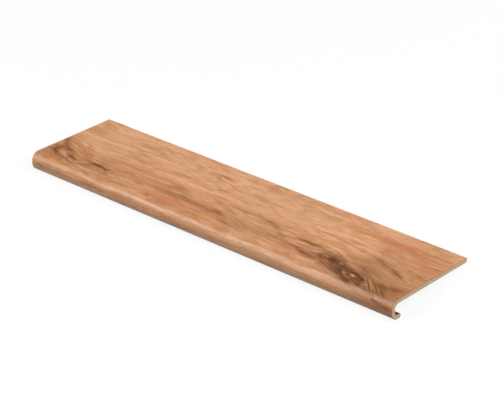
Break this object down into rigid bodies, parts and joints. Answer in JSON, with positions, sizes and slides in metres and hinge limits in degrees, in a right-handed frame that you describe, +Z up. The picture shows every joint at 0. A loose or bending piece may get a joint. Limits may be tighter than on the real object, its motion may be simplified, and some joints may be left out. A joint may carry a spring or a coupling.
{
  "type": "stair tread cover",
  "caption": "Long flat stair tread cover with a rounded nose and a lip that hooks under the step's front edge; wood-look face, made to be glued over a worn tread.",
  "frame": {"origin": "middle of the bounding box, on the floor that the cover lies on", "axes": "+X along the cover's length, +Y from the nose towards the rear edge, +Z up from the floor"},
  "size_m": [1.2192, 0.2936, 0.0536],
  "materials": {
    "wood_print": "satin"
  },
  "bodies": {
    "root": {"tread_cover": "wood_print"}
  },
  "joints": []
}
